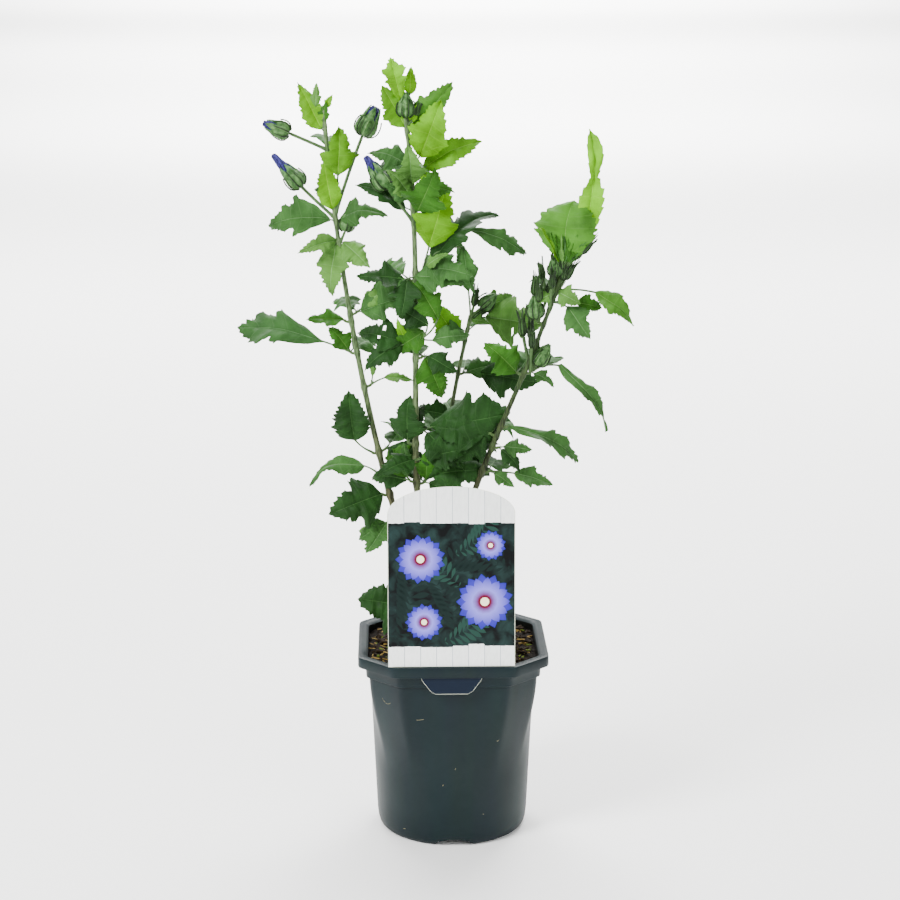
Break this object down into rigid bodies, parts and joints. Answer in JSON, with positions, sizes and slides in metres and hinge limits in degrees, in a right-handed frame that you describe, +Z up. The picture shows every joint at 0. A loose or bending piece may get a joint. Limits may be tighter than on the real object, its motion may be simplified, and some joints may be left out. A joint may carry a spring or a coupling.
{
  "type": "potted hibiscus shrub",
  "caption": "Young hibiscus shrub with slender upright stems, lobed leaves and flower buds, growing in a square nursery pot with a plant label.",
  "frame": {"origin": "centre of the pot's flat underside", "axes": "+Z up along the stems, -Y towards the front of the label, +X to its right"},
  "size_m": [0.3497, 0.1845, 0.6942],
  "materials": {
    "pot_plastic": "moulded, semi-matte",
    "peat": "loose and rough",
    "label_card": "printed card",
    "old_bark": "rough bark",
    "young_bark": "smooth green bark",
    "foliage": "soft leaf surface"
  },
  "bodies": {
    "root": {"pot": "pot_plastic", "soil": "peat", "label": "label_card", "trunk": "old_bark", "stem_left": "young_bark", "stem_centre": "young_bark", "stem_thin": "young_bark", "stem_right": "young_bark", "crown_left": "foliage", "crown_centre": "foliage", "crown_thin": "foliage", "crown_right": "foliage", "spray_left_upper_outer": "foliage", "spray_left_upper_inner": "foliage", "spray_left_middle_outer": "foliage", "spray_left_middle_inner": "foliage", "spray_left_lower_outer": "foliage", "spray_left_lower_inner": "foliage", "spray_left_base_outer": "foliage", "spray_left_base_front": "foliage", "spray_left_foot_outer": "foliage", "spray_left_foot_back": "foliage", "spray_centre_upper_right": "foliage", "spray_centre_upper_left": "foliage", "spray_centre_middle_left": "foliage", "spray_centre_middle_front": "foliage", "spray_centre_middle_right": "foliage", "spray_centre_lower_left": "foliage", "spray_centre_lower_right": "foliage", "spray_centre_lower_front": "foliage", "spray_centre_base_left": "foliage", "spray_centre_base_right": "foliage", "spray_thin_middle": "foliage", "spray_thin_lower": "foliage", "spray_thin_base": "foliage", "spray_thin_back": "foliage", "spray_right_upper_inner": "foliage", "spray_right_middle_outer": "foliage", "spray_right_middle_inner": "foliage", "spray_right_lower_outer": "foliage", "spray_right_lower_front": "foliage", "spray_right_lower_inner": "foliage", "spray_right_base_outer": "foliage", "spray_right_foot_front": "foliage", "spray_trunk_foot": "foliage"}
  },
  "joints": []
}
